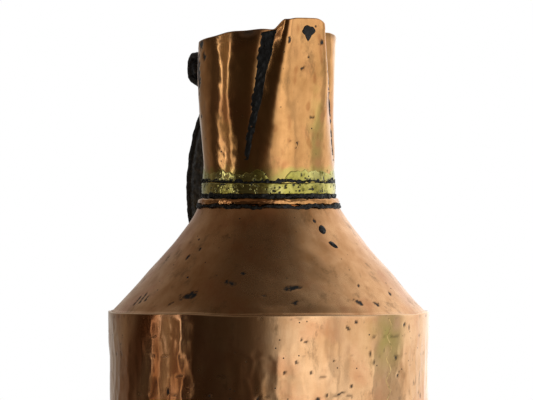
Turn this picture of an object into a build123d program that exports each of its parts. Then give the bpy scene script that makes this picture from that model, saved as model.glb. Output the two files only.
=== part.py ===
"""Hammered copper water jug: cylindrical body, conical shoulder, narrow neck folded out into a pouring
spout, brass band at the foot of the neck, and a strap handle bent like a figure 3.

Millimetres, +Z up, origin on the jug's axis at the plane it stands on. The spout points along -Y and the
handle along +Y. Each node of the assembly is written to its own STEP file in parts/.
"""
from build123d import *
import os
from math import asin, atan2, cos, hypot, radians, sin, sqrt, tan

# ---- Driving dimensions -------------------------------------------------------------------------------
SHEET = 1.3  # thickness of the hammered copper sheet
BODY_RADIUS = 105.0  # widest radius, at the rim of the body
BODY_HEIGHT = 176.0  # from the floor to the shoulder's edge
WAIST_RADIUS = 104.3  # the body between its two ends
NECK_RADIUS = 43.0  # outside of the neck where it leaves the shoulder
MOUTH_RADIUS = 44.8  # outside of the neck at the rim
RIM_HEIGHT = 353.1  # rim plane where it crosses the axis
LIP_HEIGHT = 366.0  # top of the spout's lip
STRAP_WIDTH = 35.0
STRAP_THICKNESS = 1.4

# ---- Sizes that follow from them ----------------------------------------------------------------------
FIT_GAP = 0.05  # running gap left between two sheets that slide inside each other
BODY_STRAIGHT = 13.0  # straight stretch at each end of the body, where another sheet overlaps it
FOOT_RADIUS = BODY_RADIUS - 0.4
BODY_TAPER = 18.0  # height over which the straight ends ease into the waist

DOME_RISE = 6.0  # how far the bottom is pushed up at its middle
FOOT_RING = 13.0  # width of the flat ring the jug stands on
FLANGE_HEIGHT = 10.5

SHOULDER_TOP = 243.6  # where the cone ends under the copper ring
SHOULDER_TOP_RADIUS = 47.0
SHOULDER_MID = (71.2, 210.1)  # radius and height of a point half way up the hollow-sided cone
COLLAR_TOP = 259.0
SKIRT_DEPTH = 10.0

NECK_BOTTOM = 249.6
FOLD_START = 272.0  # the neck is round below this and folded above
NECK_TOP = 378.0  # before the rim is cut
RIM_RISE = 0.14  # slope of the rim plane, up towards the spout
RIM_LEAN = 2.1  # degrees that the rim plane is higher on the -X side
HEM_HEIGHT = 5.0
HEM_PROUD = 0.5

BAND_BOTTOM, BAND_TOP = 252.4, 259.8
BAND_THICKNESS = 0.9
BAND_SOLDER_HEIGHT = 2.2
OVERFLOW_TOP = 268.6  # braze that ran up the neck
OVERFLOW_PROUD = 0.35
RING_BOTTOM, RING_TOP = 245.2, 248.8
RING_RADIUS = 46.4
RING_SOLDER_HEIGHT = 2.5
NECK_SEAM_WIDTH = 1.4

# deposit in the valley beside the spout: height, radius, and how far its middle stands out
CREASE_LEVELS = [(273.0, 1.0, 0.2), (290.0, 1.7, 0.3), (320.0, 2.6, 0.7), (352.0, 3.8, 1.2)]

# repairs on the shoulder: degrees from the spout, radius on the cone and half length
SHOULDER_PATCHES = {"shoulder_patch_upper": (9.0, 56.5, 3.0), "shoulder_patch_lower": (11.5, 63.6, 4.2)}
SPOUT_PATCH = (1.5, 355.0)  # sideways offset and height of the drop of solder on the spout

SEAM_ANGLE = 17.5  # degrees from the spout to the body's upright seam, towards +X
SEAM_WIDTH = 1.6
SEAM_PITCH = 14.0
SEAM_REACH = 5.0  # how far the seam's teeth reach to each side

GRIP_RADIUS = 79.3  # of the lower bow, on the middle of the strap
GRIP_CENTRE = (0.0, 255.0)  # its centre, as distance from the axis and height
GRIP_START = 60.0  # distance from the axis at which the bow begins
WAIST_TOP, WAIST_BOTTOM = 322.5, 306.5  # where the strap lies against the neck
SCROLL = [(50.0, 345.2), (79.4, 344.5), (77.6, 330.2), (62.0, 324.0)]  # corners of the thumb scroll
SCROLL_BENDS = [6.8, 4.6, 12.0, 3.2, 3.0, 3.0]  # radii of the bends from there to the bow
BEAD_RADIUS = 2.1  # rolled edge of the strap
WIRE_RADIUS = 1.2
BEAD_OFFSET = STRAP_WIDTH / 2 - BEAD_RADIUS
STRAP_LIE = NECK_RADIUS + 1.5 + FIT_GAP + STRAP_THICKNESS / 2  # middle of the strap where it lies on the neck
FOOT_END = 67.2  # distance from the axis at which the bow ends, just under the cone
FOOT_INNER, FOOT_OUTER = 62.0, 92.0  # reach of the handle's foot along the shoulder, as radii
FOOT_HALF_WIDTH = 21.0

RIVET_RADIUS = 2.2
HEAD_RADIUS = 3.9
HEAD_HEIGHT = 1.8
ROVE_RADIUS = 5.0
ROVE_THICKNESS = 1.0
TAIL_HEIGHT = 1.1
NECK_RIVETS = (-7.0, 7.0)  # to each side of the middle of the strap
ROVE_LEVEL = -4.1  # of the roves inside the neck, measured from the middle of the strap
FOOT_RIVETS = [(0.0, 83.5), (-11.5, 74.0), (11.5, 74.0)]  # sideways offset and radius on the cone

BOTTOM = (Align.CENTER, Align.CENTER, Align.MIN)  # a shape standing on z = 0


# ---- Helpers ------------------------------------------------------------------------------------------
def plan(radius, angle):
    """Point in plan at an angle in degrees from the spout (-Y), positive towards +X."""
    return Vector(radius * sin(radians(angle)), -radius * cos(radians(angle)))


def turned(outline):
    """Solid of revolution about the axis, from a closed (radius, height) outline of straight runs."""
    return revolve(Plane.XZ * make_face(Polyline(*outline, close=True)), Axis.Z)


def between(shape, low, high):
    """The part of a shape between two heights."""
    slab = Box(400, 400, high - low, align=BOTTOM)
    return shape & (Pos(0, 0, low) * slab)


def only_solid(shape):
    """The largest solid of a result, without the crumbs that a cut can leave."""
    return max(shape.solids(), key=lambda s: s.volume)


def save(shape, name):
    export_step(shape, f"parts/{name}.step")


# ---- Body and bottom ----------------------------------------------------------------------------------
def body_profile(offset):
    """Outer line of the body wall moved inwards by offset, from the floor up, as a wire in XZ."""
    foot, rim, waist = FOOT_RADIUS - offset, BODY_RADIUS + 0.3 - offset, WAIST_RADIUS - offset
    low, high = BODY_STRAIGHT, BODY_HEIGHT - BODY_STRAIGHT
    return [
        (foot, 0),
        (foot, low),
        (waist, low + BODY_TAPER),
        (waist, high - BODY_TAPER),
        (rim, high),
        (rim, BODY_HEIGHT),
    ]


def zigzag_prism():
    """Upright dovetailed band that passes through the wall at the seam."""
    steps = int(BODY_HEIGHT / SEAM_PITCH * 2) + 2
    reach, half = SEAM_REACH / 2, SEAM_WIDTH / 2
    line = [(reach * (-1) ** i, i * SEAM_PITCH / 2 - 1) for i in range(steps)]
    left = [(x - half * 1.2, z) for x, z in line]
    right = [(x + half * 1.2, z) for x, z in reversed(line)]
    band = make_face(Polyline(*left, *right, close=True))
    prism = extrude(Plane.XZ * band, amount=12)
    return Rot(0, 0, SEAM_ANGLE) * Pos(0, -BODY_RADIUS + 6, 0) * prism


def make_body():
    """Wall of the body and the braze of its upright seam."""
    sheet = turned(body_profile(0) + body_profile(SHEET)[::-1])
    seam = zigzag_prism()
    return only_solid(sheet - seam), only_solid(sheet & seam)


def make_base():
    """Bottom pushed up in the middle, with a flange turned up inside the wall."""
    outer = FOOT_RADIUS - SHEET - FIT_GAP
    ring = outer - FOOT_RING
    dome = (ring**2 + DOME_RISE**2) / (2 * DOME_RISE)  # radius of the dome's underside
    start = (0, DOME_RISE)
    mid = (ring / 2, DOME_RISE - dome + sqrt(dome**2 - (ring / 2) ** 2))
    under = ThreePointArc(start, mid, (ring, 0))
    over = ThreePointArc((ring, SHEET), (mid[0], mid[1] + SHEET), (0, DOME_RISE + SHEET))
    edge = Polyline(
        (ring, 0), (outer, 0), (outer, FLANGE_HEIGHT), (outer - SHEET, FLANGE_HEIGHT), (outer - SHEET, SHEET),
        (ring, SHEET),
    )
    close = Line((0, DOME_RISE + SHEET), start)
    disc = revolve(Plane.XZ * make_face([under, edge, over, close]), Axis.Z)
    wall = FOOT_RADIUS - SHEET
    fillet_ring = turned([(outer - SHEET, FLANGE_HEIGHT), (wall, FLANGE_HEIGHT), (wall, FLANGE_HEIGHT + 2)])
    return disc, fillet_ring


# ---- Shoulder -----------------------------------------------------------------------------------------
EDGE = BODY_RADIUS + 0.3 - SHEET - FIT_GAP  # outer radius of the skirt, which fits inside the body
COLLAR = NECK_RADIUS - SHEET - FIT_GAP  # outer radius of the collar, which fits inside the neck
CONE_START, CONE_END = (EDGE, BODY_HEIGHT + 0.8), (SHOULDER_TOP_RADIUS, SHOULDER_TOP)


def circle_through(a, b, c):
    """Centre and radius of the circle through three points."""
    d = 2 * (a[0] * (b[1] - c[1]) + b[0] * (c[1] - a[1]) + c[0] * (a[1] - b[1]))
    squares = [p[0] ** 2 + p[1] ** 2 for p in (a, b, c)]
    x = (squares[0] * (b[1] - c[1]) + squares[1] * (c[1] - a[1]) + squares[2] * (a[1] - b[1])) / d
    z = (squares[0] * (c[0] - b[0]) + squares[1] * (a[0] - c[0]) + squares[2] * (b[0] - a[0])) / d
    return x, z, hypot(a[0] - x, a[1] - z)


CONE_CENTRE_RADIUS, CONE_CENTRE_HEIGHT, CONE_CURVE = circle_through(CONE_START, SHOULDER_MID, CONE_END)


def cone_height(radius, out=0.0):
    """Height of the cone at a radius, on the surface lying the distance out above the sheet's outside."""
    return CONE_CENTRE_HEIGHT - sqrt((CONE_CURVE - out) ** 2 - (radius - CONE_CENTRE_RADIUS) ** 2)


def cone_arc(start, end, out):
    """Arc in XZ of the cone's profile between two radii, moved outwards by out."""
    middle = (start + end) / 2
    return ThreePointArc(*[(r, cone_height(r, out)) for r in (start, middle, end)])


def cone_layer(start, end, low, high):
    """Layer of revolution over the cone between two radii, from low to high above its outside."""
    under, over = cone_arc(start, end, low), cone_arc(end, start, high)
    sides = [Line(under @ 1, over @ 0), Line(over @ 1, under @ 0)]
    return revolve(Plane.XZ * make_face([under, sides[0], over, sides[1]]), Axis.Z)


def under_cone(out):
    """Everything below the cone's outside moved outwards by out."""
    arc = cone_arc(EDGE + 6, 40, out)
    floor = cone_height(EDGE + 6, out) - 25
    frame = Polyline(arc @ 1, (0, (arc @ 1).Y), (0, floor), (EDGE + 6, floor), arc @ 0)
    return revolve(Plane.XZ * make_face([arc, *frame.edges()]), Axis.Z)


def cone_place(side, radius):
    """Location on the cone's outside behind the jug, with its Z axis out of the surface."""
    angle = asin(side / radius)
    slope = atan2(CONE_CENTRE_HEIGHT - cone_height(radius), CONE_CENTRE_RADIUS - radius)
    outward = Vector(cos(slope) * sin(angle), cos(slope) * cos(angle), sin(slope))
    origin = (radius * sin(angle), radius * cos(angle), cone_height(radius))
    return Location(Plane(origin=origin, x_dir=(cos(angle), -sin(angle), 0), z_dir=outward))


def make_shoulder():
    """Cone with a skirt down inside the body and a collar up inside the neck, and the skirt's fillet."""
    low = BODY_HEIGHT - SKIRT_DEPTH
    outer = cone_arc(EDGE, SHOULDER_TOP_RADIUS, 0)
    inner = cone_arc(SHOULDER_TOP_RADIUS - 0.8, EDGE - SHEET, -SHEET)
    collar = Polyline(
        outer @ 1, (COLLAR, NECK_BOTTOM - 0.4), (COLLAR, COLLAR_TOP), (COLLAR - SHEET, COLLAR_TOP),
        (COLLAR - SHEET, NECK_BOTTOM - 0.8), inner @ 0,
    )
    skirt = Polyline(inner @ 1, (EDGE - SHEET, low), (EDGE, low), outer @ 0)
    cone = revolve(Plane.XZ * make_face([outer, *collar.edges(), inner, *skirt.edges()]), Axis.Z)
    wall = EDGE + FIT_GAP
    braze = turned([(EDGE - SHEET, low), (wall, low), (wall, low - 2)])
    return cone, braze


# ---- Neck, spout and the trim at its foot -------------------------------------------------------------
def neck_points(height):
    """Corners and edge middles of the neck's outline at a height, anticlockwise seen from above."""
    climb = min(max((height - FOLD_START) / (RIM_HEIGHT + 8 - FOLD_START), 0), 1.15)
    fold = min(1.0, 1.35 * climb ** 0.55) if climb > 0 else 0.0
    radius = NECK_RADIUS + (MOUTH_RADIUS - NECK_RADIUS) * (1 - (1 - min(climb, 1)) ** 2)
    valley_angle = 51 - 24 * climb
    ridge_angle = 32 - 15.7 * climb
    blend_angle = valley_angle + 12 - 3 * climb
    valley = radius - 1.9 * fold
    ridge = radius + 8.0 * climb * fold
    front = radius + 6.6 * climb * fold
    wall_angle = (valley_angle + ridge_angle) / 2
    wall = (1 - fold) * radius + fold * (valley + ridge) / 2
    shoulder = (1 - fold) * radius + fold * (radius + valley) / 2
    blend_mid = (blend_angle + valley_angle) / 2
    corners = [
        plan(radius, blend_angle), plan(radius, -blend_angle), plan(valley, -valley_angle),
        plan(ridge, -ridge_angle), plan(ridge, ridge_angle), plan(valley, valley_angle),
    ]
    middles = [
        plan(radius, 180), plan(shoulder + 0.25 * fold, -blend_mid), plan(wall, -wall_angle),
        plan(front, 0), plan(wall, wall_angle), plan(shoulder + 0.25 * fold, blend_mid),
    ]
    return corners, middles


def inward(before, after):
    """Direction that moves a corner in by 1, off the edges that run into and out of it anticlockwise."""
    sides = [Vector(-tangent.Y, tangent.X) for tangent in (before, after)]
    bisector = (sides[0] + sides[1]).normalized()
    return bisector / max(bisector.dot(sides[0]), 0.5)


def neck_section(height, inset):
    """Outline of the neck at a height, moved in by inset, as a face."""
    corners, middles = neck_points(height)
    ends = corners[1:] + corners[:1]
    arcs = [ThreePointArc(*points) for points in zip(corners, middles, ends)]
    starts = [c + inward(arcs[i - 1] % 1, arcs[i] % 0) * inset for i, c in enumerate(corners)]
    tangents = [arc.tangent_at(middle) for arc, middle in zip(arcs, middles)]
    halfway = [m + inward(t, t) * inset for m, t in zip(middles, tangents)]
    edges = [ThreePointArc(*points) for points in zip(starts, halfway, starts[1:] + starts[:1])]
    return Pos(0, 0, height) * make_face(edges)


def neck_loft(inset):
    """Solid inside the neck's outline, round at the foot and folded above."""
    levels = [FOLD_START, FOLD_START + 8, FOLD_START + 28, RIM_HEIGHT - 25, NECK_TOP]
    folded = loft([neck_section(level, inset) for level in levels])
    foot = extrude(neck_section(FOLD_START, inset), amount=NECK_BOTTOM - 20 - FOLD_START)
    return folded + foot


def rim_tool(drop):
    """Everything above the rim, lowered by drop: a plane that climbs to the spout, then the lip."""
    far, lip_foot, lip_top = 90, -40.5, -48.5

    def rim(y):
        return RIM_HEIGHT - RIM_RISE * y - drop

    outline = Polyline(
        (far, rim(far)), (lip_foot, rim(lip_foot)), (lip_top, LIP_HEIGHT - drop), (-far, LIP_HEIGHT - drop),
        (-far, 460), (far, 460), close=True,
    )
    tool = extrude(Plane.YZ * make_face(outline), amount=120, both=True)
    pivot = Pos(0, 0, RIM_HEIGHT)
    return pivot * Rot(0, RIM_LEAN, 0) * Pos(0, 0, -RIM_HEIGHT) * tool


def make_neck():
    """Neck folded out into the spout, with its hem, and the solid that fills it."""
    outside = neck_loft(0)
    hem = neck_loft(-HEM_PROUD) & rim_tool(HEM_HEIGHT)
    tube = (outside + hem) - rim_tool(0) - neck_loft(SHEET)
    return only_solid(between(tube, NECK_BOTTOM, NECK_TOP)), outside


def ring(inner, outer, low, high):
    """Plain ring about the axis."""
    return turned([(inner, low), (outer, low), (outer, high), (inner, high)])


def make_neck_trim(shoulder):
    """The brass, copper and solder rings at the foot of the neck, from the top down."""
    fit = NECK_RADIUS + FIT_GAP
    solder_top = BAND_TOP + BAND_SOLDER_HEIGHT
    overflow = ring(fit, NECK_RADIUS + OVERFLOW_PROUD, solder_top, OVERFLOW_TOP)
    upper_solder = turned([
        (fit, BAND_TOP), (fit, solder_top), (fit + 0.5, solder_top),
        (fit + 0.9, BAND_TOP + BAND_SOLDER_HEIGHT / 2), (fit + 0.7, BAND_TOP),
    ])
    band = ring(fit, fit + BAND_THICKNESS, BAND_BOTTOM, BAND_TOP)
    lower_solder = ring(fit, NECK_RADIUS + 1.3, RING_TOP, BAND_BOTTOM)
    middle = (RING_BOTTOM + RING_TOP) / 2
    half = (RING_TOP - RING_BOTTOM) / 2
    seat = RING_RADIUS - half
    profile = [
        Line((fit - 1.0, RING_BOTTOM), (seat, RING_BOTTOM)),
        ThreePointArc((seat, RING_BOTTOM), (RING_RADIUS, middle), (seat, RING_TOP)),
        Line((seat, RING_TOP), (fit - 1.0, RING_TOP)),
        Line((fit - 1.0, RING_TOP), (fit - 1.0, RING_BOTTOM)),
    ]
    bead = revolve(Plane.XZ * make_face(profile), Axis.Z)
    low = RING_BOTTOM - RING_SOLDER_HEIGHT
    foot, top = RING_RADIUS + 2.4, RING_RADIUS + 1.0
    ring_solder = turned([(fit, low), (foot, low), (top, RING_BOTTOM), (fit, RING_BOTTOM)])
    under_top = ring(30, SHOULDER_TOP_RADIUS - 1, low - 5, SHOULDER_TOP)
    bead = only_solid(bead - shoulder - Cylinder(NECK_RADIUS - 1, 900))
    ring_solder = only_solid(ring_solder - shoulder - bead - under_top)
    return {
        "braze_overflow": overflow, "upper_solder_line": upper_solder, "brass_band": band,
        "lower_solder_line": lower_solder, "neck_ring": bead, "ring_solder_line": ring_solder,
    }


# ---- Solder and braze on the neck and shoulder ---------------------------------------------------------
def make_neck_seam(neck):
    """Upright braze line at the back of the neck, cut through the sheet."""
    slot = Pos(0, MOUTH_RADIUS, NECK_BOTTOM) * Box(NECK_SEAM_WIDTH, 14, 140, align=BOTTOM)
    return only_solid(neck - slot), only_solid(neck & slot)


def make_crease(outside, side, levels):
    """Dark deposit lying in the valley to one side of the spout; levels are (height, radius, outset)."""
    discs = []
    for height, radius, outset in levels:
        valley = neck_points(height)[0][5 if side > 0 else 2]
        centre = valley + valley.normalized() * outset
        discs.append(Pos(centre.X, centre.Y, height) * Circle(radius))
    return only_solid(loft(discs, ruled=True) - outside)


def make_spout_patch():
    """Drop of solder on the spout's front, point down."""
    drop = make_face([
        ThreePointArc((-4.6, 3.2), (0, 5.4), (4.6, 3.2)),
        Line((4.6, 3.2), (0.6, -6.0)), ThreePointArc((0.6, -6.0), (0, -6.4), (-0.6, -6.0)),
        Line((-0.6, -6.0), (-4.6, 3.2)),
    ])
    prism = Pos(SPOUT_PATCH[0], -35, SPOUT_PATCH[1]) * extrude(Plane.XZ * drop, amount=30)
    return only_solid((neck_loft(-0.55) & prism) - neck_loft(0))


def make_shoulder_patch(angle, radius, size):
    """Oval repair on the cone at an angle in degrees from the spout."""
    spot = plan(radius, angle)
    oval = Rot(0, 0, angle - 60) * Ellipse(size, size * 0.6)
    prism = Pos(spot.X, spot.Y, 190) * extrude(oval, amount=60)
    return only_solid(cone_layer(EDGE - 12, SHOULDER_TOP_RADIUS + 1, 0, 0.6) & prism)


# ---- Handle -------------------------------------------------------------------------------------------
def rounded(points, radii):
    """Edges of a line through points in the YZ plane, with an arc of each radius at the inner points."""
    corners = [Vector(0, y, z) for y, z in points]
    edges, last = [], corners[0]
    for before, corner, after, radius in zip(corners, corners[1:], corners[2:], radii):
        back, ahead = (before - corner).normalized(), (after - corner).normalized()
        half = radians(back.get_angle(ahead)) / 2
        into, out = corner + back * (radius / tan(half)), corner + ahead * (radius / tan(half))
        middle = corner + (back + ahead).normalized() * (radius / sin(half) - radius)
        edges += [Line(last, into), ThreePointArc(into, middle, out)]
        last = out
    return edges + [Line(last, corners[-1])]


def handle_line():
    """Middle line of the strap, from the free end of the thumb scroll to just under the cone."""
    y0, z0 = GRIP_CENTRE
    top = (GRIP_START, z0 + sqrt(GRIP_RADIUS**2 - (GRIP_START - y0) ** 2))
    end = (FOOT_END, z0 - sqrt(GRIP_RADIUS**2 - (FOOT_END - y0) ** 2))
    slope = (top[0] - y0) / (top[1] - z0)  # of the bow where it begins
    bend = (top[0] - 3, top[1] + 3 * slope)
    corners = [*SCROLL, (STRAP_LIE, WAIST_TOP), (STRAP_LIE, WAIST_BOTTOM), bend, top]
    bow = ThreePointArc((0, *top), (0, y0 + GRIP_RADIUS, z0), (0, *end))
    return Wire([*rounded(corners, SCROLL_BENDS), bow])


def swept(section, line):
    """Section drawn at the origin, swept along the handle line."""
    start = Plane(origin=line @ 0, x_dir=(1, 0, 0), z_dir=line % 0)
    return sweep(start * section, path=line)


def make_strap(line):
    """Strap with rolled edges, trimmed on the cone, and its leaf-shaped foot."""
    web = Rectangle(2 * BEAD_OFFSET, STRAP_THICKNESS)
    beads = [Pos(side * BEAD_OFFSET, 0) * Circle(BEAD_RADIUS) for side in (-1, 1)]
    wires = [Pos(side * BEAD_OFFSET, 0) * Circle(WIRE_RADIUS + FIT_GAP) for side in (-1, 1)]
    strap = swept(web, line)
    for bead in beads:
        strap += swept(bead, line)
    leaf = foot_leaf()
    strap = only_solid(strap - under_cone(FIT_GAP)) + leaf
    for wire in wires:
        strap -= swept(wire, line)
    return only_solid(strap)


def foot_leaf():
    """Foot of the handle, a leaf that follows the cone."""
    outline = Polyline(
        (-STRAP_WIDTH / 2, FOOT_INNER), (-FOOT_HALF_WIDTH, FOOT_INNER + 10),
        (-FOOT_HALF_WIDTH + 3, FOOT_OUTER - 11), (-4, FOOT_OUTER - 1), (4, FOOT_OUTER - 1),
        (FOOT_HALF_WIDTH - 3, FOOT_OUTER - 11),
        (FOOT_HALF_WIDTH, FOOT_INNER + 10), (STRAP_WIDTH / 2, FOOT_INNER), close=True,
    )
    leaf = fillet(make_face(outline).vertices(), 3)
    prism = Pos(0, 0, 150) * extrude(leaf, amount=120)
    return cone_layer(EDGE - 4, FOOT_INNER - 10, FIT_GAP, FIT_GAP + STRAP_THICKNESS) & prism


def make_wire(line, side):
    """Wire inside one rolled edge of the strap."""
    wire = swept(Pos(side * BEAD_OFFSET, 0) * Circle(WIRE_RADIUS), line)
    return only_solid(wire - under_cone(FIT_GAP + STRAP_THICKNESS))


# ---- Rivets -------------------------------------------------------------------------------------------
def dome(radius, height, skirt):
    """Domed head standing on z = 0, with a skirt below it to be cut to the surface it sits on."""
    ball = (radius**2 + height**2) / (2 * height)
    cap = Pos(0, 0, height - ball) * Sphere(ball) & Box(99, 99, 99, align=BOTTOM)
    return cap + Cylinder(radius, skirt, align=(Align.CENTER, Align.CENTER, Align.MAX))


def make_rivet(place, over, under, seat, wall):
    """Rivet and its rove at a place whose Z axis runs out of the surface.

    over and under are the levels of the outer and inner surfaces on that axis; seat and wall are the solids
    that the head and the rove are cut to.
    """
    tail = under - ROVE_THICKNESS - FIT_GAP
    head = place * Pos(0, 0, over) * dome(HEAD_RADIUS, HEAD_HEIGHT, 2.5) - seat
    shank = place * Pos(0, 0, tail - 0.6) * Cylinder(RIVET_RADIUS, over + 0.8 - tail, align=BOTTOM)
    button = place * Pos(0, 0, tail) * Rot(180, 0, 0) * dome(RIVET_RADIUS + 1, TAIL_HEIGHT, 0.01)
    level = under - ROVE_THICKNESS
    rove = place * Pos(0, 0, level) * Cylinder(ROVE_RADIUS, ROVE_THICKNESS + 2.5, align=BOTTOM)
    rove = rove - wall - place * Cylinder(RIVET_RADIUS + FIT_GAP, 40)
    return only_solid(head + shank + button), only_solid(rove)


def rivet_hole(place):
    """Clearance through both sheets at a rivet."""
    return place * Cylinder(RIVET_RADIUS + FIT_GAP, 24)


def neck_rivets():
    """The two rivets of the strap's waist, as (place, rivet, rove)."""
    height = (WAIST_TOP + WAIST_BOTTOM) / 2
    seat = Pos(0, 0, height) * Box(80, 2 * STRAP_LIE + STRAP_THICKNESS, 40)
    wall = Pos(0, 0, height) * Box(160, 160, 60) - neck_loft(SHEET + FIT_GAP)
    for side in NECK_RIVETS:
        place = Location(Plane(origin=(side, STRAP_LIE, height), x_dir=(1, 0, 0), z_dir=(0, 1, 0)))
        yield place, *make_rivet(place, STRAP_THICKNESS / 2, ROVE_LEVEL, seat, wall)


def foot_rivets():
    """The rivets of the handle's foot, as (place, rivet, rove)."""
    seat = under_cone(FIT_GAP + STRAP_THICKNESS)
    wall = cone_layer(EDGE, SHOULDER_TOP_RADIUS, -SHEET - FIT_GAP, 6)
    for side, radius in FOOT_RIVETS:
        place = cone_place(side, radius)
        yield place, *make_rivet(place, FIT_GAP + STRAP_THICKNESS, -SHEET - 0.6, seat, wall)


# ---- Run ----------------------------------------------------------------------------------------------
os.makedirs("parts", exist_ok=True)
body_wall, body_seam = make_body()
base_disc, base_braze = make_base()
shoulder_cone, shoulder_braze = make_shoulder()
neck, neck_outside = make_neck()
neck, neck_seam = make_neck_seam(neck)
line = handle_line()
strap = make_strap(line)
nodes = {
    "body_wall": body_wall, "body_seam_braze": body_seam, "base_disc": base_disc, "base_braze": base_braze,
    "shoulder_cone": shoulder_cone, "shoulder_braze": shoulder_braze, "neck_and_spout": neck,
    "neck_seam_braze": neck_seam,
    "crease_solder_left": make_crease(neck_outside, -1, CREASE_LEVELS),
    "crease_solder_right": make_crease(neck_outside, 1, CREASE_LEVELS),
    "spout_solder_patch": make_spout_patch(),
    "handle_strap": strap, "handle_wire_left": make_wire(line, -1), "handle_wire_right": make_wire(line, 1),
}
nodes.update(make_neck_trim(shoulder_cone))
nodes.update({name: make_shoulder_patch(*patch) for name, patch in SHOULDER_PATCHES.items()})
for number, (place, rivet, rove) in enumerate(neck_rivets(), start=1):
    nodes[f"neck_rivet_{number}"], nodes[f"neck_rove_{number}"] = rivet, rove
    for name in ("neck_and_spout", "handle_strap"):
        nodes[name] = only_solid(nodes[name] - rivet_hole(place))
for number, (place, rivet, rove) in enumerate(foot_rivets(), start=1):
    nodes[f"foot_rivet_{number}"], nodes[f"foot_rove_{number}"] = rivet, rove
    for name in ("shoulder_cone", "handle_strap"):
        nodes[name] = only_solid(nodes[name] - rivet_hole(place))
for name, shape in nodes.items():
    save(shape, name)
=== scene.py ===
"""Looks of the hammered copper jug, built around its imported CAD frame.

The body, shoulder, neck and trim are grids of points bent to the CAD's sizes and beaten with seeded
noise; the handle and rivets are remeshed copies of their CAD nodes. Everything is procedural.
"""

import math

import bpy
import numpy as np
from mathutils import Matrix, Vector
from mathutils.bvhtree import BVHTree


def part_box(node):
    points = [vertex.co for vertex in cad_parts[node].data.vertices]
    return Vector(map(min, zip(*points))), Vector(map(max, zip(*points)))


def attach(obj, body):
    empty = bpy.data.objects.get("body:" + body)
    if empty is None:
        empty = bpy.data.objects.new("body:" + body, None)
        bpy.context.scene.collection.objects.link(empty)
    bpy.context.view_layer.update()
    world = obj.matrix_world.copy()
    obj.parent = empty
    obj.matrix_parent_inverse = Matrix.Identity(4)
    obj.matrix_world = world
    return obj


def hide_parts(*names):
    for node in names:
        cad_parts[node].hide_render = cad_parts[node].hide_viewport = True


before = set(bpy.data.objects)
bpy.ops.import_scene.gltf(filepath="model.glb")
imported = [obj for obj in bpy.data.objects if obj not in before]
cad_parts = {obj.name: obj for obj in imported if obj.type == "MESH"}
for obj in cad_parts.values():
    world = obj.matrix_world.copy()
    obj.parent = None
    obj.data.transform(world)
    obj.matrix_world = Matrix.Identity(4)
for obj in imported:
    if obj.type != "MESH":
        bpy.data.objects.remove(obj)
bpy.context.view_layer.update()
scene = bpy.context.scene
scene.view_settings.view_transform = "Standard"
MM = 0.001
TURN = 2 * math.pi
SHEET = 1.3  # thickness of the copper, mm

# ---- Sizes read from the frame, in mm ----------------------------------------------------------------


def levels(node):
    """Lowest and highest level of a CAD node, in mm."""
    low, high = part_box(node)
    return low.z / MM, high.z / MM


def outer_radius(node):
    """Largest reach of a round CAD node from the axis, in mm."""
    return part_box(node)[1].x / MM


BODY_TOP = levels("body_wall")[1]
BODY_RADIUS = outer_radius("body_wall")
NECK_FOOT, NECK_TOP = levels("neck_and_spout")
BAND_LOW, BAND_HIGH = levels("brass_band")
RING_LOW, RING_HIGH = levels("neck_ring")
RING_RADIUS = outer_radius("neck_ring")
OVERFLOW_TOP = levels("braze_overflow")[1]
OVERFLOW_PROUD = 0.35  # how far the braze above the band stands off the neck
NECK_RADIUS = outer_radius("braze_overflow") - OVERFLOW_PROUD
BODY_COLUMNS, SHOULDER_COLUMNS, TRIM_COLUMNS = 600, 520, 460  # points round each grid


# ---- Numeric helpers ---------------------------------------------------------------------------------
def smooth(x):
    """Eased step from 0 at x = 0 to 1 at x = 1."""
    x = np.clip(x, 0, 1)
    return x * x * (3 - 2 * x)


def field(points, wavelength, seed, stretch=(1, 1, 1), count=28):
    """Seeded smooth noise of unit variance over points in mm; stretch lengthens it along an axis."""
    rng = np.random.default_rng(seed)
    total = np.zeros(points.shape[:-1])
    for _ in range(count):
        direction = rng.normal(size=3)
        direction /= np.linalg.norm(direction)
        wave = direction * TURN / (wavelength * rng.uniform(0.7, 1.6)) / np.array(stretch)
        total += np.cos(points @ wave + rng.uniform(0, TURN))
    return total * math.sqrt(2 / count)


def around(angle):
    """Unit vectors in plan at angles from the spout (-Y), positive towards +X."""
    return np.stack([np.sin(angle), -np.cos(angle)], axis=-1)


def placed(angle, radius, height):
    """Points in mm from plan angle, radius and height arrays."""
    flat = around(angle) * np.asarray(radius)[..., None]
    return np.concatenate([flat, np.broadcast_to(height, flat.shape[:-1])[..., None]], axis=-1)


def ring_angles(columns):
    """Evenly spaced plan angles of a closed ring, as one row."""
    return np.linspace(0, TURN, columns, endpoint=False)[None, :]


def degrees_from(middle, angle):
    """Signed plan degrees from a middle bearing to each angle, from -180 to 180."""
    return (np.degrees(angle) - middle + 180) % 360 - 180


def rim_wave(angle):
    """Waver in mm of the body's rim, which the shoulder's edge follows."""
    return field(placed(angle, BODY_RADIUS, BODY_TOP), 55, 11, count=12) * 0.28 - 0.35


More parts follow.
